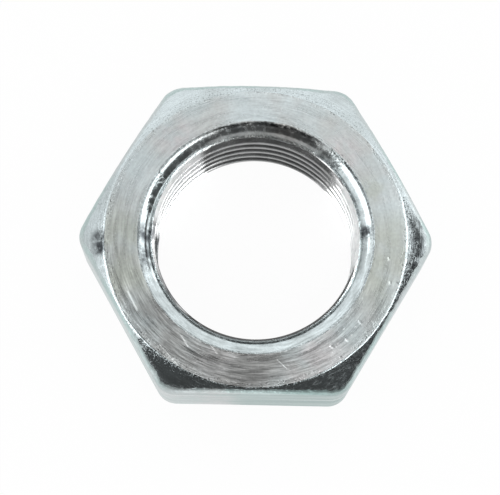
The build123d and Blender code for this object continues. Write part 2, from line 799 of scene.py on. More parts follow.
    def corner_at(self, number: NodeNumber, corners: list[tuple[float, float]]) -> list[NodeNumber]:
        """Return a corner of the thread's section.

        Args:
            number: The corner's place in the list.
            corners: The section's corners.

        Returns:
            The corner's share of the pitch and share of the depth.
        """
        tree, picked = number.tree, []
        for part in range(2):
            switch = tree.nodes.new("GeometryNodeIndexSwitch")
            switch.data_type = "FLOAT"
            while len(switch.index_switch_items) < len(corners):
                switch.index_switch_items.new()
            tree.links.new(number.socket, switch.inputs[0])
            for entry, corner in zip(switch.inputs[1:], corners):
                entry.default_value = corner[part]
            picked.append(NodeNumber(tree, switch.outputs[0]))
        return picked

    def tap(self, skin: bpy.types.Object, thread: bpy.types.Material) -> bpy.types.Mesh:
        """Return the whole nut's mesh: the skin with the tree run on it.

        Args:
            skin: The skin's object.
            thread: The material of the thread.

        Returns:
            A plain mesh.
        """
        tree = self.build_tree(thread)
        modifier = skin.modifiers.new("tapping", "NODES")
        modifier.node_group = tree
        values = self.number_inputs() | self.count_inputs()
        for item in tree.interface.items_tree:
            if item.item_type == "SOCKET" and item.in_out == "INPUT" and item.name in values:
                modifier[item.identifier] = values[item.name]
        graph = bpy.context.evaluated_depsgraph_get()
        mesh = bpy.data.meshes.new_from_object(skin.evaluated_get(graph))
        skin.modifiers.remove(modifier)
        return mesh


class Patterns:
    """Numbers that vary over a surface, worked out in a material from the nut's own coordinates."""

    # The radius, in millimetres, at which a turned or bored mark is as long as it says
    mean_radius = 12.0
    # How far out a blot is whole, as a share of its size
    whole_share = 0.2

    def __init__(self, tree: bpy.types.NodeTree, seed: float = 0.0) -> None:
        """Read the place on the nut, in millimetres.

        Args:
            tree: The material's tree.
            seed: What all the noises start from.
        """
        self.tree = tree
        self.seed = seed
        place = tree.nodes.new("ShaderNodeTexCoord")
        parts = node_after(tree, "ShaderNodeSeparateXYZ", place.outputs["Object"])
        self.x, self.y, self.z = (NodeNumber(tree, parts.outputs[i]) / MM for i in range(3))
        self.radius = (self.x * self.x + self.y * self.y).root()

    def noise(
        self, place: tuple[NodeNumber, NodeNumber, NodeNumber], seed: float, detail: float
    ) -> NodeNumber:
        """Return a noise.

        Args:
            place: The place to take it at, where 1 is the size of its grain.
            seed: What tells this noise from the surface's others.
            detail: How many finer layers it has.

        Returns:
            A number round 0.5.
        """
        node = self.tree.nodes.new("ShaderNodeTexNoise")
        node.noise_dimensions = "4D"
        self.tree.links.new(as_place(*place), node.inputs["Vector"])
        node.inputs["W"].default_value = self.seed + seed
        node.inputs["Scale"].default_value = 1.0
        node.inputs["Detail"].default_value = detail
        return NodeNumber(self.tree, node.outputs[0])

    def grain(self, size: float, seed: float, detail: float = 2.0) -> NodeNumber:
        """Return a noise of this grain size, in millimetres."""
        return self.noise((self.x / size, self.y / size, self.z / size), seed, detail)

    def marks(self, lay: Lay, width: float, length: float, seed: float, detail: float = 2.0) -> NodeNumber:
        """Return a noise drawn out along the tool's way.

        Args:
            lay: Which way the marks run.
            width: How wide a mark is, in millimetres.
            length: How long a mark is, in millimetres.
            seed: What tells this noise from the surface's others.
            detail: How many finer layers the noise has.

        Returns:
            A number round 0.5.
        """
        if lay is Lay.ROLLED:
            return self.noise((self.x / length, self.y / length, self.z / width), seed, detail)
        across = self.radius if lay is Lay.TURNED else self.radius - self.z
        turn = self.radius * (length / self.mean_radius)
        return self.noise((across / width, self.x / turn, self.y / turn), seed, detail)

    def across_flats(self) -> NodeNumber:
        """Return how far out the place lies.

        Returns:
            Its distance from the axis, measured square to the nearest flat.
        """
        along_x = self.x * math.cos(HALF_SIDE_ANGLE)
        along_y = self.y * math.sin(HALF_SIDE_ANGLE)
        tilted = (along_x + along_y).size().largest((along_x - along_y).size())
        return self.y.size().largest(tilted)

    def blot(self, x: float, y: float, size: float) -> NodeNumber:
        """Return 1 at a place on the plan, easing off to 0 at the blot's size from it."""
        off_x, off_y = self.x - x, self.y - y
        return (off_x * off_x + off_y * off_y).root().share_between(size, size * self.whole_share)

    def line(self, start: tuple[float, float], end: tuple[float, float], width: float) -> NodeNumber:
        """Return how near the place is to a straight line on the plan.

        Args:
            start: Where the line starts.
            end: Where it ends.
            width: How far to either side it reaches.

        Returns:
            1 on the line, easing off to 0 at its width from it.
        """
        run_x, run_y = end[0] - start[0], end[1] - start[1]
        length = math.hypot(run_x, run_y)
        off_x, off_y = self.x - start[0], self.y - start[1]
        along = (off_x * (run_x / length) + off_y * (run_y / length)).largest(0.0).smallest(length)
        aside_x, aside_y = off_x - along * (run_x / length), off_y - along * (run_y / length)
        return (aside_x * aside_x + aside_y * aside_y).root().share_between(width, 0.0)


@dataclass(frozen=True)
class StainAndShadePatch:
    """A ragged patch of another tint: where the passivated zinc is tinted, and, in the near-black and
    dark grey tints, painted dark reflection and painted shade. Place and size are millimetres, in plan.

    The grain that makes it ragged is a share of its size, and the patch shows where that is strong.
    """

    x: float
    y: float
    size: float
    tint: Tint
    share: float = 0.7
    grain_share: float = 0.5
    shows: Span = (0.25, 0.6)


@dataclass(frozen=True)
class Scratch:
    """A straight scratch on the crowned face. Its ends and width are millimetres, in plan."""

    start: tuple[float, float]
    end: tuple[float, float]
    width: float = 0.1
    shine: float = 0.4


@dataclass(frozen=True)
class ZincFinish:
    """Bright zinc plate over the marks that a tool left in the steel.

    Sizes and depths are millimetres. A shade is the share of the brightness that a pattern takes or
    adds. Bands are wider and longer marks, whose width, length and shade are a mark's own times the
    factors given. A kind of finish that nicks, specks or roughens some places more says so in methods
    of its own.
    """

    name: str
    lay: Lay
    seed: float
    tint: Tint = BLUE_ZINC
    cloud_tint: Tint = GREY_ZINC
    cloud_size: float = 3.0
    cloud_shows: Span = (0.35, 0.65)
    roughness: float = 0.3
    roughness_spread: float = 0.1
    mark_width: float = 0.11
    mark_length: float = 1.4
    mark_depth: float = 0.007
    mark_shade: float = 0.22
    band_width: float = 4.0
    band_length: float = 3.0
    band_shade: float = 0.3
    grain_size: float = 0.22
    grain_depth: float = 0.004
    grain_shade: float = 0.1
    nick_shows: Span = (0.5, 0.7)
    nick_depth: float = 0.012
    nick_shade: float = 0.25
    stains_and_shade: tuple[StainAndShadePatch, ...] = ()
    scratches: tuple[Scratch, ...] = ()
    scratch_depth: float = 0.01

    def material(self, sizes: NutSizes) -> bpy.types.Material:
        """Return the finish as a material.

        Args:
            sizes: The sizes of the nut that wears it.

        Returns:
            The material.
        """
        made = bpy.data.materials.new(self.name)
        made.use_nodes = True
        tree = made.node_tree
        shader = tree.nodes["Principled BSDF"]
        shader.inputs["Metallic"].default_value = 1.0
        patterns = Patterns(tree, self.seed)
        width, length = self.mark_width, self.mark_length
        marks = patterns.marks(self.lay, width, length, Layer.MARKS.value) - MIDDLE
        width, length = width * self.band_width, length * self.band_length
        bands = patterns.marks(self.lay, width, length, Layer.BANDS.value) - MIDDLE
        grain = patterns.grain(self.grain_size, Layer.GRAIN.value) - MIDDLE
        nicks = patterns.grain(self.grain_size, Layer.NICKS.value, detail=3.0)
        nicks = nicks.share_between(*self.nick_shows) * self.worn(patterns, sizes)

        strength = self.mark_strength(patterns)
        shade = (marks + bands * self.band_shade) * strength * (self.mark_shade * NOISE_GAIN)
        shade = shade + grain * (self.grain_shade * NOISE_GAIN)
        # The specks' brightness carries the thread's painted highlight too
        shade = shade - nicks * self.nick_shade + 1.0 + self.specks(patterns)
        height = marks * strength * self.mark_depth + grain * self.grain_depth - nicks * self.nick_depth
        for scratch in self.scratches:
            line = patterns.line(scratch.start, scratch.end, scratch.width)
            shade = shade + line * scratch.shine
            height = height - line * self.scratch_depth
        tree.links.new(self.colour(patterns, shade.largest(0.0)), shader.inputs["Base Color"])
        rough = bands * (self.roughness_spread * NOISE_GAIN) + self.roughness
        rough = rough + self.more_roughness(patterns)
        tree.links.new(rough.largest(LEAST_ROUGHNESS).smallest(1.0).socket, shader.inputs["Roughness"])
        bump = tree.nodes.new("ShaderNodeBump")
        bump.inputs["Distance"].default_value = MM
        tree.links.new(height.socket, bump.inputs["Height"])
        tree.links.new(bump.outputs["Normal"], shader.inputs["Normal"])
        return made

    def worn(self, patterns: Patterns, sizes: NutSizes) -> NodeNumber | float:
        """Return how much the surface is nicked at a place, from 0 to 1: nowhere on a plain one."""
        return 0.0

    def mark_strength(self, patterns: Patterns) -> NodeNumber | float:
        """Return how strong the tool's marks are at a place, next to the finish's own strength."""
        return 1.0

    def specks(self, patterns: Patterns) -> NodeNumber | float:
        """Return how much bright specks, and on the thread a painted highlight, add to the brightness at a
        place: nothing on a plain surface.
        """
        return 0.0

    def more_roughness(self, patterns: Patterns) -> NodeNumber | float:
        """Return what a place has over the finish's own roughness: nothing on a plain surface."""
        return 0.0

    def colour(self, patterns: Patterns, shade: NodeNumber) -> bpy.types.NodeSocket:
        """Return the zinc's colour, clouded, stained, darkened by patches of painted shade and dark
        reflection, and shaded.

        Args:
            patterns: The patterns of the surface.
            shade: How bright the place is, next to the tints.

        Returns:
            The socket that gives the colour.
        """
        cloud = patterns.grain(self.cloud_size, Layer.CLOUDS.value).share_between(*self.cloud_shows)
        mixed = self.blend(patterns.tree, self.tint, self.cloud_tint, cloud)
        for number, stain_and_shade in enumerate(self.stains_and_shade):
            ragged = patterns.grain(stain_and_shade.size * stain_and_shade.grain_share, Layer.STAINS_AND_SHADE.value + number)
            here = patterns.blot(stain_and_shade.x, stain_and_shade.y, stain_and_shade.size) * ragged.share_between(*stain_and_shade.shows)
            mixed = self.blend(patterns.tree, mixed, stain_and_shade.tint, here * stain_and_shade.share)
        scaled = node_after(patterns.tree, "ShaderNodeVectorMath", mixed)
        scaled.operation = "SCALE"
        patterns.tree.links.new(shade.socket, scaled.inputs["Scale"])
        capped = node_after(patterns.tree, "ShaderNodeVectorMath", scaled.outputs[0])
        capped.operation = "MINIMUM"
        capped.inputs[1].default_value = (BRIGHTEST_TINT, BRIGHTEST_TINT, BRIGHTEST_TINT)
        return capped.outputs[0]

    def blend(
        self, tree: bpy.types.NodeTree, base: "bpy.types.NodeSocket | Tint", over: Tint, share: NodeNumber
    ) -> bpy.types.NodeSocket:
        """Return a tint with another laid over it.

        Args:
            tree: The material's tree.
            base: The tint below, or the socket that gives it.
            over: The tint above.
            share: How much of the tint above shows.

        Returns:
            The socket that gives the mixed tint.
        """
        node = tree.nodes.new("ShaderNodeMix")
        node.data_type = "RGBA"
        tree.links.new(share.socket, node.inputs[0])
        base_entry, over_entry = (entry for entry in node.inputs if entry.type == "RGBA")
        if isinstance(base, bpy.types.NodeSocket):
            tree.links.new(base, base_entry)
        else:
            base_entry.default_value = (*base, 1.0)
        over_entry.default_value = (*over, 1.0)
        return next(leave for leave in node.outputs if leave.type == "RGBA")


@dataclass(frozen=True)
class CrownFaceFinish(ZincFinish):
    """The faced ring between mouth and chamfer, nicked along both of its edges.

    The nicks' bands are measured from those edges. The tool marks are stronger towards the camera, which is
    towards lower y, but less on the right: partly deeper marks, partly painted reflection in their shade.
    The specks lie round two spots near the camera.
    """

    edge_band: Span = (0.6, 0.15)
    lip_band: float = 0.2
    lip_share: float = 0.5
    far_marks: float = 0.6
    near_marks_more: float = 1.7
    near: Span = (1.0, -9.5)
    right_marks_less: float = 0.55
    right: Span = (3.0, 10.0)
    speck_size: float = 0.3
    speck_shows: Span = (0.6, 0.72)
    speck_shine: float = 0.6
    speck_spot: Spot = (7.5, -8.5, 5.5)
    faint_spot: Spot = (-2.0, -11.5, 5.0)
    faint_share: float = 0.6

    def worn(self, patterns: Patterns, sizes: NutSizes) -> NodeNumber | float:
        """Return how near the place is to either edge of the ring.

        Args:
            patterns: The patterns of the surface.
            sizes: The nut's sizes.

        Returns:
            1 at the outer edge, less at the lip and 0 between them.
        """
        edge, lip = sizes.chamfer_circle / MM, sizes.mouth / MM
        outer = patterns.radius.share_between(*(edge - inside for inside in self.edge_band))
        inner = patterns.radius.share_between(lip + self.lip_band, lip)
        return outer.largest(inner * self.lip_share)

    def mark_strength(self, patterns: Patterns) -> NodeNumber | float:
        """Return the strength of the tool's marks, more towards the camera and less on the right."""
        strength = patterns.y.share_between(*self.near) * self.near_marks_more + self.far_marks
        return strength * (patterns.x.share_between(*self.right) * -self.right_marks_less + 1.0)

    def specks(self, patterns: Patterns) -> NodeNumber | float:
        """Return the specks of the ring's part near the camera, most of them on the right.

        Args:
            patterns: The patterns of the surface.

        Returns:
            What the specks add to the brightness.
        """
        spread = patterns.blot(*self.speck_spot).largest(patterns.blot(*self.faint_spot) * self.faint_share)
        grain = patterns.grain(self.speck_size, Layer.SPECKS.value)
        return grain.share_between(*self.speck_shows) * spread * self.speck_shine


@dataclass(frozen=True)
class ChamferFinish(ZincFinish):
    """The turned chamfer, nicked along the crowned face and along the flats, and specked all over.

    The nicks' bands are measured from those edges. One spot has no specks.
    """

    inner_band: float = 1.3
    outer_band: Span = (0.9, 0.1)
    band_share: float = 0.8
    least_worn: float = 0.15
    speck_width: float = 0.14
    speck_length: float = 0.4
    speck_shows: Span = (0.46, 0.7)
    speck_roughness: float = 0.2
    smooth_spot: Spot = (-7.6, -11.9, 2.0)

    def worn(self, patterns: Patterns, sizes: NutSizes) -> NodeNumber | float:
        """Return how near the place is to the chamfer's inner edge or to a flat.

        Args:
            patterns: The patterns of the surface.
            sizes: The nut's sizes.

        Returns:
            The share, which is nowhere quite 0.
        """
        circle, half = sizes.chamfer_circle / MM, sizes.across_flats / 2 / MM
        inner = patterns.radius.share_between(circle + self.inner_band, circle)
        outer = patterns.across_flats().share_between(*(half - inside for inside in self.outer_band))
        return (inner.largest(outer) * self.band_share).largest(self.least_worn)

    def more_roughness(self, patterns: Patterns) -> NodeNumber | float:
        """Return the roughness of the specks, which spare the middle of the near left corner.

        Args:
            patterns: The patterns of the surface.

        Returns:
            What the specks add to the roughness.
        """
        specked = patterns.blot(*self.smooth_spot).up_to_one()
        width, length = self.speck_width, self.speck_length
        specks = patterns.marks(self.lay, width, length, Layer.SPECKS.value, detail=3.0)
        return specks.share_between(*self.speck_shows) * specked * self.speck_roughness


@dataclass(frozen=True)
class FlatFinish(ZincFinish):
    """A rolled flat. The one near the camera is nicked along the chamfer.

    The nicks' band is measured down from the crowned face.
    """

    nick_band: Span = (1.0, 0.5)
    nick_near: Span = (-11.0, -12.5)
    speck_size: float = 0.5
    speck_shows: Span = (0.3, 0.6)
    speck_shine: float = 0.25
    speck_heights: Span = (8.0, 8.6)
    speck_near: Span = (-2.0, -12.0)

    def worn(self, patterns: Patterns, sizes: NutSizes) -> NodeNumber | float:
        """Return how near the place is to the upper end, on the near flat."""
        band = patterns.z.share_between(*(sizes.thickness / MM - below for below in self.nick_band))
        return band * patterns.y.share_between(*self.nick_near)

    def specks(self, patterns: Patterns) -> NodeNumber | float:
        """Return the brightness of the pale specks along the rim of the near flats.

        Args:
            patterns: The patterns of the surface.

        Returns:
            What the specks add to the brightness.
        """
        pale = patterns.grain(self.speck_size, Layer.SPECKS.value).share_between(*self.speck_shows)
        pale = pale * patterns.y.share_between(*self.speck_near)
        return patterns.z.share_between(*self.speck_heights) * pale * self.speck_shine


@dataclass(frozen=True)
class MouthFinish(ZincFinish):
    """The mouth, torn by the tool at its lip, at its foot and in a few spots, and specked all over.

    The countersink wears it too, and is as torn all over as the mouth is at its foot.
    """

    lip_band: float = 0.15
    lip_share: float = 0.3
    foot_band: float = 0.25
    foot_share: float = 0.5
    torn_spots: tuple[Spot, ...] = ((9.35, 0.6, 0.9), (6.9, 6.9, 1.1), (-8.5, 4.9, 0.8))
    speck_width: float = 0.2
    speck_length: float = 0.5
    speck_shows: Span = (0.45, 0.7)
    speck_roughness: float = 0.15

    def worn(self, patterns: Patterns, sizes: NutSizes) -> NodeNumber | float:
        """Return how near the place is to the lip, to the thread or to a torn spot.

        Args:
            patterns: The patterns of the surface.
            sizes: The nut's sizes.

        Returns:
            The share, which is 1 only in the torn spots.
        """
        edge, foot = sizes.mouth / MM, sizes.thickness / MM - sizes.smooth_mouth_depth / MM
        at_lip = patterns.radius.share_between(edge - self.lip_band, edge) * self.lip_share
        torn = at_lip.largest(patterns.z.share_between(foot + self.foot_band, foot) * self.foot_share)
        for spot in self.torn_spots:
            torn = torn.largest(patterns.blot(*spot))
        return torn

    def more_roughness(self, patterns: Patterns) -> NodeNumber | float:
        """Return the roughness of the specks that the tool left all over the mouth.

        Args:
            patterns: The patterns of the surface.

        Returns:
            What the specks add to the roughness.
        """
        width, length = self.speck_width, self.speck_length
        specks = patterns.marks(self.lay, width, length, Layer.SPECKS.value, detail=3.0)
        return specks.share_between(*self.speck_shows) * self.speck_roughness


@dataclass(frozen=True)
class ThreadFinish(ZincFinish):
    """The thread, with frost where it faces sideways, as the tap left it there, and a painted highlight on
    the frost.

    The frost lies in two parts of the wall. The far end of the right one is a line through the
    thread's axis, whose slope is in y for each x.
    """

    left_side: Span = (-4.4, -5.2)
    left_beyond: Span = (0.6, 2.0)
    right_side: Span = (4.0, 6.0)
    right_beyond: Span = (-3.0, -1.5)
    right_slope: float = 0.62
    right_line: Span = (-0.4, 0.4)
    frost_roughness: float = 0.4
    painted_highlight_shine: float = 0.5

    def frost_and_highlight(self, patterns: Patterns) -> NodeNumber:
        """Return how much the place has of the frost and of its painted highlight.

        Args:
            patterns: The patterns of the surface.

        Returns:
            1 in the two parts of the hole's sides that have frost and painted highlight, and 0 at its far
            and near walls.
        """
        left = patterns.x.share_between(*self.left_side) * patterns.y.share_between(*self.left_beyond)
        right = (patterns.x * self.right_slope - patterns.y).share_between(*self.right_line)
        right = right * patterns.x.share_between(*self.right_side)
        return left.largest(right * patterns.y.share_between(*self.right_beyond))

    def more_roughness(self, patterns: Patterns) -> NodeNumber | float:
        """Return the frost's own roughness."""
        return self.frost_and_highlight(patterns) * self.frost_roughness

    def specks(self, patterns: Patterns) -> NodeNumber | float:
        """Return the painted highlight on the frost."""
        return self.frost_and_highlight(patterns) * self.painted_highlight_shine


@dataclass
class JamNut:
    """The nut itself, one piece."""

    sizes: NutSizes
    columns: int = 600
    sharp_above: float = math.radians(20)

    def finishes(self) -> dict[Surface, ZincFinish]:
        """Return the finish of each surface.

        Returns:
            The finishes by surface.
        """
        return {
            Surface.CROWN_FACE: CrownFaceFinish(
                "zinc_on_faced_ring",
                Lay.TURNED,
                seed=10.0,
                nick_depth=0.03,
                nick_shade=0.6,
                stains_and_shade=self.stains_and_shade(),
                scratches=self.scratches(),
            ),
            Surface.CHAMFER: ChamferFinish(
                "zinc_on_turned_chamfer",
                Lay.TURNED,
                seed=20.0,
                tint=AQUA_ZINC,
                cloud_tint=BLUE_ZINC,
                roughness=0.1,
                roughness_spread=0.04,
                mark_shade=0.12,
                grain_size=0.14,
                grain_depth=0.003,
                nick_depth=0.009,
                nick_shade=0.5,
                stains_and_shade=(
                    # Painted dark reflections: the dark crescents at the chamfer's left and right corners
                    StainAndShadePatch(-13.4, -0.4, 1.1, PAINTED_DARK_REFLECTION_TINT, 1.0),
                    StainAndShadePatch(-13.4, -1.3, 1.0, PAINTED_DARK_REFLECTION_TINT, 1.0),
                    StainAndShadePatch(13.9, 1.4, 1.3, PAINTED_DARK_REFLECTION_TINT, 0.8),
                    StainAndShadePatch(14.0, -0.1, 1.4, PAINTED_DARK_REFLECTION_TINT, 0.8),
                    StainAndShadePatch(13.9, -1.7, 1.5, PAINTED_DARK_REFLECTION_TINT, 0.8),
                ),
            ),
            Surface.FLATS: FlatFinish(
                "zinc_on_rolled_flats",
                Lay.ROLLED,
                seed=30.0,
                tint=MINT_ZINC,
                cloud_tint=PALE_MINT_ZINC,
                cloud_size=4.0,
                roughness=0.36,
                roughness_spread=0.16,
                mark_width=0.3,
                mark_length=6.0,
                mark_depth=0.004,
                mark_shade=0.06,
                nick_depth=0.02,
                nick_shade=-0.5,
                stains_and_shade=(
                    # The near flat darker all over: its mint tone and painted shade
                    StainAndShadePatch(3.0, -13.5, 12.0, DEEP_MINT_AND_SHADE_ZINC, 1.0),
                    StainAndShadePatch(-3.0, -13.5, 2.6, PINK_ZINC, 0.4),
                ),
            ),
            Surface.BEARING_FACE: ZincFinish("zinc_on_bearing_face", Lay.TURNED, seed=40.0),
            Surface.MOUTH: MouthFinish(
                "zinc_in_mouth",
                Lay.BORED,
                seed=50.0,
                tint=AQUA_ZINC,
                cloud_tint=BLUE_ZINC,
                roughness=0.15,
                mark_shade=0.3,
                grain_depth=0.008,
                nick_depth=0.035,
                stains_and_shade=(
                    StainAndShadePatch(0.5, 9.5, 9.0, WARM_ZINC, 1.0),
                    # Painted dark reflections: the dark patches in the mouth's right, far right and left
                    # sides
                    StainAndShadePatch(9.35, 0.6, 1.0, PAINTED_DARK_REFLECTION_TINT, 1.0),
                    StainAndShadePatch(5.3, 6.9, 1.1, PAINTED_DARK_REFLECTION_TINT, 0.85),
                    StainAndShadePatch(6.2, 6.1, 1.1, PAINTED_DARK_REFLECTION_TINT, 0.85),
                    StainAndShadePatch(-9.3, 0.1, 1.6, PAINTED_DARK_REFLECTION_TINT, 1.0),
                    StainAndShadePatch(-9.2, -1.9, 1.6, PAINTED_DARK_REFLECTION_TINT, 0.9),
                ),
            ),
            Surface.THREAD: ThreadFinish(
                "zinc_on_thread",
                Lay.BORED,
                seed=60.0,
                tint=THREAD_ZINC,
                cloud_tint=THREAD_ZINC,
                roughness=0.22,
                mark_width=0.15,
                mark_length=1.5,
                # Two patches of painted shade: a dark band down the thread's left and near left side
                stains_and_shade=(StainAndShadePatch(-8.9, 0.2, 2.0, PAINTED_DARK_REFLECTION_TINT, 0.9), StainAndShadePatch(-7.6, -4.4, 3.4, PAINTED_DARK_REFLECTION_TINT, 0.9)),
            ),
        }

    def stains_and_shade(self) -> tuple[StainAndShadePatch, ...]:
        """Return the tinted patches of the crowned face, and the painted dark reflection that darkens its
        part near the camera.

        Returns:
            The patches, each laid over those before it.
        """
        return (
            StainAndShadePatch(-10.5, 3.5, 7.0, AQUA_ZINC, 0.6),
            StainAndShadePatch(12.0, 2.0, 5.0, AQUA_ZINC, 0.4),
            StainAndShadePatch(-7.0, 8.6, 2.6, PINK_ZINC),
            StainAndShadePatch(7.4, 7.5, 2.4, PINK_ZINC),
            StainAndShadePatch(5.2, -10.6, 4.0, PINK_ZINC),
            StainAndShadePatch(-2.5, -11.3, 4.5, PINK_ZINC, 0.5),
            StainAndShadePatch(9.9, 4.3, 1.8, KHAKI_ZINC),
            StainAndShadePatch(11.5, -2.0, 6.0, KHAKI_ZINC, 0.9),
            StainAndShadePatch(-11.2, -2.0, 6.5, KHAKI_ZINC, 0.9),
            # Painted dark reflection: the face darker towards the camera
            StainAndShadePatch(-8.0, -8.0, 4.5, PAINTED_REFLECTION_GREY, 0.75),
            StainAndShadePatch(-1.0, -11.5, 6.5, PAINTED_REFLECTION_GREY, 1.0),
            StainAndShadePatch(0.0, 12.0, 6.5, AQUA_ZINC, 0.6),
        )

    def scratches(self) -> tuple[Scratch, ...]:
        """Return the scratches of the crowned face.

        Returns:
            The long ones, and the short and wide ones that read as dents.
        """
        return (
            Scratch((-10.83, -5.01), (-10.01, -6.63)),
            Scratch((-3.91, -9.18), (-3.12, -10.19)),
            Scratch((-5.70, -12.29), (-4.83, -13.21)),
            Scratch((-7.97, -9.60), (-6.40, -11.28), 0.08, 0.3),
            Scratch((-6.21, -8.71), (-5.60, -9.64), 0.08, 0.3),
            Scratch((2.06, -10.68), (2.83, -11.35)),
            Scratch((-4.33, -9.18), (-3.48, -9.42)),
            Scratch((11.44, -1.70), (11.46, -1.82), 0.16),
            Scratch((11.53, -3.78), (11.55, -3.92), 0.16),
            Scratch((8.95, -7.22), (9.05, -7.36), 0.18),
            Scratch((7.84, -8.80), (7.98, -8.92), 0.18),
            Scratch((6.56, -9.44), (6.74, -9.54), 0.18),
        )

    def build(self) -> bpy.types.Object:
        """Return the finished nut, riding on the part's body and standing for its solid.

        Returns:
            The nut's object.
        """
        worn = {surface: finish.material(self.sizes) for surface, finish in self.finishes().items()}
        skin_mesh = Skin(self.sizes, self.columns).build()
        for surface in Surface:
            skin_mesh.materials.append(worn[surface])
        skin = bpy.data.objects.new("jam_nut_skin", skin_mesh)
        bpy.context.scene.collection.objects.link(skin)
        mesh = Tapping(self.sizes, self.columns).tap(skin, worn[Surface.THREAD])
        bpy.data.objects.remove(skin)
        self.order_slots(mesh, worn)
        mesh.shade_smooth()
        mesh.set_sharp_from_angle(angle=self.sharp_above)
        mesh.name = "zinc_jam_nut"
        nut = bpy.data.objects.new("zinc_jam_nut", mesh)
        bpy.context.scene.collection.objects.link(nut)
        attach(nut, "root")
        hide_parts("jam_nut")
        return nut

    def order_slots(self, mesh: bpy.types.Mesh, worn: dict[Surface, bpy.types.Material]) -> None:
        """Give the mesh one material slot for each surface, whatever slots the tree has added.

        Args:
            mesh: The whole nut's mesh.
            worn: The materials by surface.
        """
        place = {worn[surface].name: surface.value for surface in Surface}
        now = [place[material.name] if material else 0 for material in mesh.materials]
        kinds = [0] * len(mesh.polygons)
        mesh.polygons.foreach_get("material_index", kinds)
        mesh.materials.clear()
        for surface in Surface:
            mesh.materials.append(worn[surface])
        mesh.polygons.foreach_set("material_index", [now[kind] for kind in kinds])


@dataclass(frozen=True)
class PhotoCamera:
    """The camera that took the picture: where it stood and how it was turned."""

    distance: float = 168.85 * MM
    elevation: float = math.radians(78.41)
    azimuth: float = math.radians(-3.18)
    roll: float = math.radians(4.29)
    focal_pixels: float = 1966.8
    picture_width: float = 500.0
    centre_pixel: tuple[float, float] = (250.0, 247.5)
    target_pixel: tuple[float, float] = (255.955, 236.10)
    sensor: float = 36.0
    nearest_seen: float = 5 * MM
    farthest_seen: float = 5.0

    def place(self, target: Vector) -> bpy.types.Object:
        """Make it the scene's camera, which sees the target at the target pixel.

        Args:
            target: The point that it sees there.

        Returns:
            The camera's object.
        """
        level, up = math.cos(self.elevation), math.sin(self.elevation)
        back = Vector((math.sin(self.azimuth) * level, -math.cos(self.azimuth) * level, up))
        far = Vector((-math.sin(self.azimuth), math.cos(self.azimuth), 0))
        level_right = far.cross(back).normalized()
        level_upward = back.cross(level_right)
        cos_roll, sin_roll = math.cos(self.roll), math.sin(self.roll)
        right = cos_roll * level_right + sin_roll * level_upward
        upward = -sin_roll * level_right + cos_roll * level_upward
        aside = (self.target_pixel[0] - self.centre_pixel[0]) / self.focal_pixels
        above = (self.centre_pixel[1] - self.target_pixel[1]) / self.focal_pixels
        turn = Vector((0, 0, -1)).rotation_difference(Vector((aside, above, -1))).to_matrix()
        axes = Matrix((right, upward, back)).transposed() @ turn.transposed()
        data = bpy.data.cameras.new("photo_camera")
        data.sensor_width = self.sensor
        data.lens = self.focal_pixels * self.sensor / self.picture_width
        data.clip_start, data.clip_end = self.nearest_seen, self.farthest_seen
        camera = bpy.data.objects.new("photo_camera", data)
        camera.matrix_world = Matrix.Translation(target + back * self.distance) @ axes.to_4x4()
        bpy.context.scene.collection.objects.link(camera)
        bpy.context.scene.camera = camera
        return camera


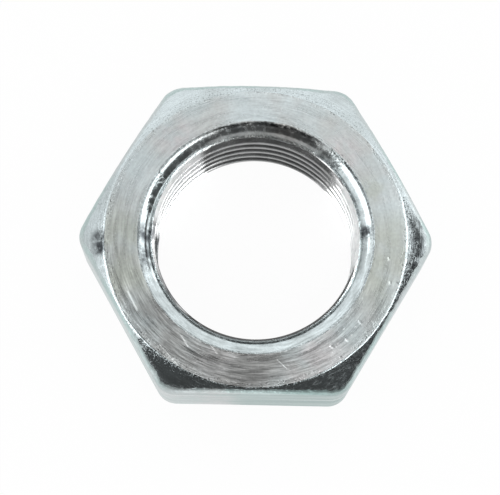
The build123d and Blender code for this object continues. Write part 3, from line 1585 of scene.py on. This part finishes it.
@dataclass(frozen=True)
class Card:
    """A card of light or shade that stands round the nut and that only its shine shows.

    Its place is given as seen from the nut, in degrees: azimuth 0 is +X and 90 is the far side, +Y.
    The two soft edges are shares of its width and height, over which it fades out. A place on it is
    given by its shares of the width and of the height.
    """

    name: str
    azimuth: float
    elevation: float
    width: float
    height: float
    brightness: float
    soft_sides: float = 0.15
    soft_ends: float = 0.15
    radius: float = 450 * MM
    steps: int = 24

    def build(self) -> bpy.types.Object:
        """Return the card as a patch of a sphere, with a map of its shares.

        Returns:
            The card's object, which is no part of the nut.
        """
        shares = [i / self.steps for i in range(self.steps + 1)]
        map_points = [(u, v) for v in shares for u in shares]
        stride = len(shares)
        faces = []
        for row in range(self.steps):
            for column in range(self.steps):
                here = row * stride + column
                faces.append((here, here + stride, here + stride + 1, here + 1))
        mesh = bpy.data.meshes.new(self.name)
        mesh.from_pydata([self.point(u, v) for u, v in map_points], [], faces)
        layer = mesh.uv_layers.new(name="card")
        for loop in mesh.loops:
            layer.uv[loop.index].vector = map_points[loop.vertex_index]
        mesh.materials.append(self.material())
        card = bpy.data.objects.new(self.name, mesh)
        bpy.context.scene.collection.objects.link(card)
        card.visible_camera = card.visible_diffuse = card.visible_shadow = False
        return card

    def point(self, u: float, v: float) -> tuple[float, float, float]:
        """Return the card's point at these shares.

        Args:
            u: The share of its width.
            v: The share of its height.

        Returns:
            The point.
        """
        turn = math.radians(self.azimuth + (u - MIDDLE) * self.width)
        rise = math.radians(self.elevation + (v - MIDDLE) * self.height)
        return polar(self.radius * math.cos(rise), turn, self.radius * math.sin(rise))

    def shown(self, u: NodeNumber, v: NodeNumber) -> NodeNumber:
        """Return how much of the card shows at these shares, from 0 to 1."""
        from_side, from_end = ((share - MIDDLE).size() * -1.0 + MIDDLE for share in (u, v))
        return (from_side / self.soft_sides).smallest(1.0) * (from_end / self.soft_ends).smallest(1.0)

    def side_shown(self, tree: bpy.types.NodeTree) -> NodeNumber | float:
        """Return how much the side that a ray meets shows: both sides do."""
        return 1.0

    def material(self) -> bpy.types.Material:
        """Return a plain glow of the card's brightness that fades out along its edges.

        Returns:
            The card's material.
        """
        made = bare_material(self.name)
        tree = made.node_tree
        place = tree.nodes.new("ShaderNodeUVMap")
        place.uv_map = "card"
        parts = node_after(tree, "ShaderNodeSeparateXYZ", place.outputs[0])
        u, v = (NodeNumber(tree, parts.outputs[i]) for i in range(2))
        glow = tree.nodes.new("ShaderNodeEmission")
        glow.inputs["Strength"].default_value = self.brightness
        share = self.shown(u, v) * self.side_shown(tree)
        shown = mixed_shader(share, clear_shader(tree), glow.outputs[0])
        node_after(tree, "ShaderNodeOutputMaterial", shown)
        return made


@dataclass(frozen=True)
class RoundCard(Card):
    """A round card: its width is its diameter, its height is left out, and its rim is soft.

    The first share of a place runs round the disc and the second from its middle to its rim.
    """

    def point(self, u: float, v: float) -> tuple[float, float, float]:
        """Return the card's point at these shares.

        Args:
            u: The share of a full turn.
            v: The share of the way out to the rim.

        Returns:
            The point.
        """
        turn, off = FULL_TURN * u, math.radians(self.width / 2 * v)
        local = Vector((math.sin(off) * math.cos(turn), math.sin(off) * math.sin(turn), math.cos(off)))
        tilt = Matrix.Rotation(math.radians(90 - self.elevation), 3, "Y")
        placed = Matrix.Rotation(math.radians(self.azimuth), 3, "Z") @ tilt @ local
        return tuple(placed * self.radius)

    def shown(self, u: NodeNumber, v: NodeNumber) -> NodeNumber:
        """Return how much of the card shows: all of it up to its soft rim."""
        return (v.up_to_one() / self.soft_ends).smallest(1.0)


@dataclass(frozen=True)
class HoleCard(Card):
    """A card of light that stands in the hole, close to the wall, and shines only away from it.

    Its elevation is the height of its middle and its height its own, both in millimetres.
    """

    radius: float = 8.4 * MM

    def point(self, u: float, v: float) -> tuple[float, float, float]:
        """Return the card's point at these shares of its width and height."""
        turn = math.radians(self.azimuth + (u - MIDDLE) * self.width)
        return polar(self.radius, turn, (self.elevation + (v - MIDDLE) * self.height) * MM)

    def side_shown(self, tree: bpy.types.NodeTree) -> NodeNumber | float:
        """Return 1 on the side towards the thread's axis and 0 on the other."""
        geometry = tree.nodes.new("ShaderNodeNewGeometry")
        return NodeNumber(tree, geometry.outputs["Backfacing"]).up_to_one()


@dataclass(frozen=True)
class Floor:
    """The pale floor, a hair below the bearing face, with a faint soft shadow. It isn't seen from below.

    It is white to the camera and in the nut's shine, save that inside the hole its glow in the shine is
    painted: painted shade, dim in the middle and lighter on the far side, and painted light, bright along
    the hole's two sides. The places of that light are millimetres, and its bounds are lines through the
    thread's axis.
    """

    size: float = 3.0
    below: float = 0.02 * MM
    paint: float = 0.95
    shadow_share: float = 0.05
    hole_radius: float = 8.9
    hole_edge: float = 0.1
    middle_light: float = 0.12
    far_light: float = 0.55
    far: Span = (4.5, 6.0)
    side_light: float = 8.0
    side_beyond: Span = (1.4, 2.4)
    side_out: Span = (5.2, 6.2)
    right_bound: float = math.radians(46)
    left_bound: float = math.radians(31)
    bound_width: Span = (-0.3, 0.3)

    def build(self) -> bpy.types.Object:
        """Return the floor.

        Returns:
            The floor's object, which is no part of the nut.
        """
        half = self.size / 2
        plan = ((-half, -half), (half, -half), (half, half), (-half, half))
        mesh = bpy.data.meshes.new("floor")
        mesh.from_pydata([(x, y, -self.below) for x, y in plan], [], [(0, 1, 2, 3)])
        mesh.materials.append(self.material())
        floor = bpy.data.objects.new("floor", mesh)
        bpy.context.scene.collection.objects.link(floor)
        return floor

    def material(self) -> bpy.types.Material:
        """Return the floor's paint and glow.

        Returns:
            The floor's material.
        """
        made = bare_material("pale_floor")
        tree = made.node_tree
        paint = tree.nodes.new("ShaderNodeBsdfDiffuse")
        paint.inputs["Color"].default_value = (self.paint, self.paint, self.paint, 1)
        rays = tree.nodes.new("ShaderNodeLightPath")
        to_camera, to_shine, through = (
            NodeNumber(tree, rays.outputs[name])
            for name in ("Is Camera Ray", "Is Glossy Ray", "Is Transmission Ray")
        )
        brightness = self.in_shine(tree) * to_shine + to_shine.up_to_one()
        glow = tree.nodes.new("ShaderNodeEmission")
        tree.links.new(brightness.socket, glow.inputs["Strength"])
        seen = (to_camera + to_shine + through).smallest(1.0) * (1.0 - self.shadow_share)
        upper_side = mixed_shader(seen, paint.outputs[0], glow.outputs[0])
        geometry = tree.nodes.new("ShaderNodeNewGeometry")
        from_below = NodeNumber(tree, geometry.outputs["Backfacing"])
        shown = mixed_shader(from_below, upper_side, clear_shader(tree))
        node_after(tree, "ShaderNodeOutputMaterial", shown)
        return made

    def in_shine(self, tree: bpy.types.NodeTree) -> NodeNumber:
        """Return how bright the metal mirrors the floor, with the painted shade and painted light inside
        the hole.

        Args:
            tree: The floor's material tree.

        Returns:
            The brightness, 1 outside the hole.
        """
        place = Patterns(tree)
        inside = place.radius.share_between(self.hole_radius, self.hole_radius - self.hole_edge)
        right = place.x - place.y * math.tan(self.right_bound)
        left = place.x * -1.0 - place.y * math.tan(self.left_bound)
        beside = right.largest(left).share_between(*self.bound_width)
        beside = beside * place.y.share_between(*self.side_beyond)
        beside = beside * place.radius.share_between(*self.side_out)
        far = place.y.share_between(*self.far) * (self.far_light - self.middle_light)
        brightness = beside * self.side_light + far + self.middle_light
        return inside * (brightness - 1.0) + 1.0


@dataclass
class Studio:
    """Floor, white surroundings, and the cards that the metal mirrors."""

    floor: Floor = field(default_factory=Floor)

    def cards(self) -> list[Card]:
        """Return the cards: the dark room on the camera's side, and boxes of light at both sides.

        Returns:
            The cards, those that stand in the hole last.
        """
        return [
            Card("dark_room", -98.5, 56, 103, 68, 0.07, 0.04, 0.05),
            Card("room_below_camera", -98, 8, 103, 36, 0.4, 0.05, 0.1, radius=460 * MM),
            RoundCard("camera_side", -139, 85.4, 39, 0, 0.0, 0.0, 0.5, radius=440 * MM),
            Card("near_right_gap", -27, 34, 62, 58, 0.06, 0.06, 0.06, radius=440 * MM),
            Card("far_right_gap", 8, 26, 48, 13, 0.1, 0.1, 0.2, radius=445 * MM),
            Card("right_box", -6, 54, 80, 46, 2.8, 0.04, 0.06),
            Card("right_low_box", 5, 4, 70, 32, 2.0, 0.1, 0.2, radius=460 * MM),
            Card("left_box", 186, 57, 56, 40, 2.4, 0.04, 0.06),
            Card("left_low_box", -164, 31, 28, 16, 1.2, 0.15, 0.1, radius=455 * MM),
            Card("left_wall", 165, 18, 50, 40, 0.8, 0.1, 0.1, radius=460 * MM),
            HoleCard("hole_right", -32.5, 3.4, 41, 6.4, 3.0, 0.05, 0.05),
            HoleCard("hole_left", 211, 3.2, 17, 6.0, 3.0, 0.1, 0.05),
        ]

    def build(self) -> list[bpy.types.Object]:
        """Return the floor and the cards, and make the surroundings plain white.

        Returns:
            The studio's objects.
        """
        world = bpy.data.worlds.new("studio_white")
        world.use_nodes = True
        world.node_tree.nodes["Background"].inputs["Color"].default_value = (1, 1, 1, 1)
        bpy.context.scene.world = world
        return [self.floor.build(), *(card.build() for card in self.cards())]


def main() -> None:
    """Build the nut, the studio and the camera."""
    logging.basicConfig(level=logging.INFO, format="%(message)s")
    sizes = NutSizes.from_frame()
    nut = JamNut(sizes).build()
    log.info("%s: %d faces", nut.name, len(nut.data.polygons))
    for piece in Studio().build():
        log.info("%s: part of the studio", piece.name)
    camera = PhotoCamera().place(Vector((0, 0, sizes.thickness)))
    log.info("%s: %.1f mm lens", camera.name, camera.data.lens)
    bpy.context.scene.view_settings.view_transform = "Standard"


if __name__ == "__main__":
    main()
